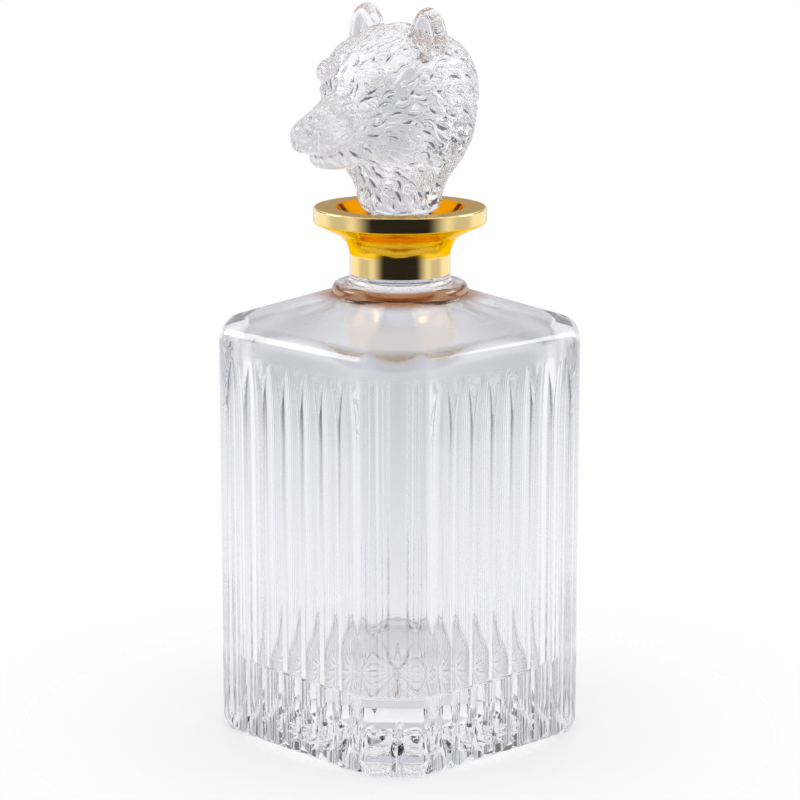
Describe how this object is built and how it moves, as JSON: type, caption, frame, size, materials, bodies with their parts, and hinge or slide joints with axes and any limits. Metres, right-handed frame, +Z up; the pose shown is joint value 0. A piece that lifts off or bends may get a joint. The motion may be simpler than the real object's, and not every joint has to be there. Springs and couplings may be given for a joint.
{
  "type": "liquor decanter with figural stopper",
  "caption": "Square fluted crystal decanter with a gilded flared lip and a solid bear-head stopper that lifts out of the neck and turns in it.",
  "frame": {"origin": "centre of the foot, on the neck's axis", "axes": "+Z up along the neck's axis, -Y the way the bear faces, +X to the bear's left"},
  "size_m": [0.094, 0.094, 0.2341],
  "materials": {
    "bottle_crystal": "clear polished crystal, cut flutes",
    "head_crystal": "clear moulded crystal with carved fur",
    "peg_crystal": "clear polished crystal",
    "gold": "bright gold mirror",
    "seal_polymer": "clear soft polymer"
  },
  "bodies": {
    "bottle": {"glass_bottle": "bottle_crystal", "gold_collar": "gold"},
    "seal": {"seal_sleeve": "seal_polymer"},
    "stopper": {"bear_head": "head_crystal", "stopper_peg": "peg_crystal"}
  },
  "joints": [
    {"name": "stopper_lift", "type": "slide", "parent": "bottle", "child": "seal", "axis": [0, 0, 1], "range_m": [0, 0.08]},
    {"name": "stopper_turn", "type": "hinge", "parent": "seal", "child": "stopper", "pos_m": [0, 0, 0.16], "axis": [0, 0, 1], "continuous": true}
  ]
}
